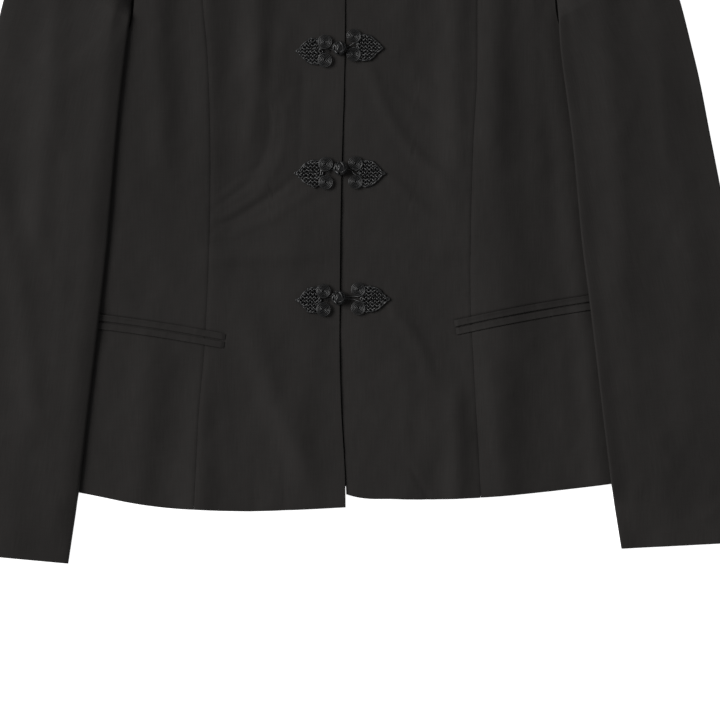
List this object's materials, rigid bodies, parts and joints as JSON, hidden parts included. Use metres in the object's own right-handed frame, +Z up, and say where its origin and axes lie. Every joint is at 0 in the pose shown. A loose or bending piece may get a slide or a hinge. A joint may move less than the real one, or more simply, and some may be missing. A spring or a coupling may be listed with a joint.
{
  "type": "tang jacket",
  "caption": "Waist-length stand-collar jacket laid flat, front up, with princess seams, slanted double-jet pockets and cord frog fastenings.",
  "frame": {"origin": "centre of the bounding box in X and Y, on the surface that the jacket lies on", "axes": "+X towards the wearer's left, +Y from hem to collar, +Z up out of the front"},
  "size_m": [0.786, 0.7102, 0.0147],
  "materials": {
    "cloth": "near-black plain weave with fine slubs and a low, soft sheen",
    "cord": "black satin rouleau cord, laced, coiled and knotted"
  },
  "bodies": {
    "root": {"back": "cloth", "front_centre_right": "cloth", "front_side_right": "cloth", "front_centre_left": "cloth", "front_side_left": "cloth", "sleeve_right": "cloth", "sleeve_left": "cloth", "collar": "cloth", "pocket_jet_upper_right": "cloth", "pocket_jet_lower_right": "cloth", "pocket_jet_upper_left": "cloth", "pocket_jet_lower_left": "cloth", "frog_1_loop": "cord", "frog_1_knot": "cord", "frog_2_loop": "cord", "frog_2_knot": "cord", "frog_3_loop": "cord", "frog_3_knot": "cord", "frog_4_loop": "cord", "frog_4_knot": "cord"}
  },
  "joints": []
}
